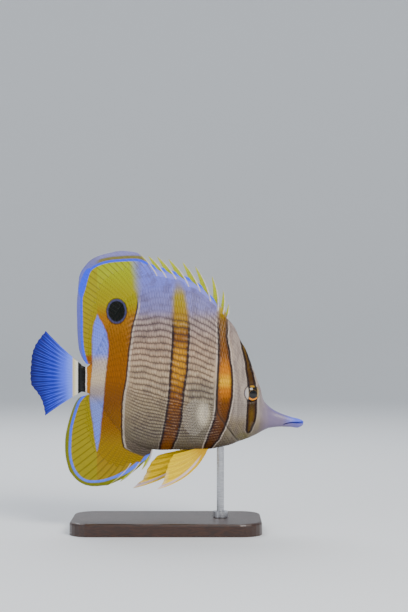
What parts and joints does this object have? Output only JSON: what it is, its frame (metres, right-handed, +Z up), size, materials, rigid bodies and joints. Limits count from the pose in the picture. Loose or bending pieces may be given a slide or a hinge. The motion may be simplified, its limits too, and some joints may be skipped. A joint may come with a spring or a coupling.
{
  "type": "copperband butterflyfish model",
  "caption": "Life-size copperband butterflyfish with a long thin snout, tall spiny fins and upright bands, held on a short rod above a flat display base.",
  "frame": {"origin": "on the floor, below the middle of the fish's length and width", "axes": "+X towards the snout, +Y towards the fish's left side, +Z up"},
  "size_m": [0.1502, 0.058, 0.1535],
  "materials": {
    "pearl_skin": "satin pearl scales with copper bands",
    "yellow_fin": "yellow membrane over rays",
    "blue_fin": "thin blue membrane over rays",
    "clear_fin": "nearly clear membrane over rays",
    "eye_black": "wet gloss",
    "dark_wood": "dark satin wood",
    "steel": "brushed"
  },
  "bodies": {
    "root": {"head": "pearl_skin", "snout": "pearl_skin", "lower_jaw": "pearl_skin", "gill_cover_left": "pearl_skin", "gill_cover_right": "pearl_skin", "torso": "pearl_skin", "tail_stalk": "pearl_skin", "eye_left": "eye_black", "eye_right": "eye_black", "dorsal_fin_spiny": "yellow_fin", "dorsal_fin_soft": "yellow_fin", "anal_fin": "yellow_fin", "tail_fin": "blue_fin", "pectoral_fin_left": "clear_fin", "pectoral_fin_right": "clear_fin", "pelvic_fin_left": "yellow_fin", "pelvic_fin_right": "yellow_fin", "stand_base": "dark_wood", "stand_collar": "steel", "stand_rod": "steel"}
  },
  "joints": []
}
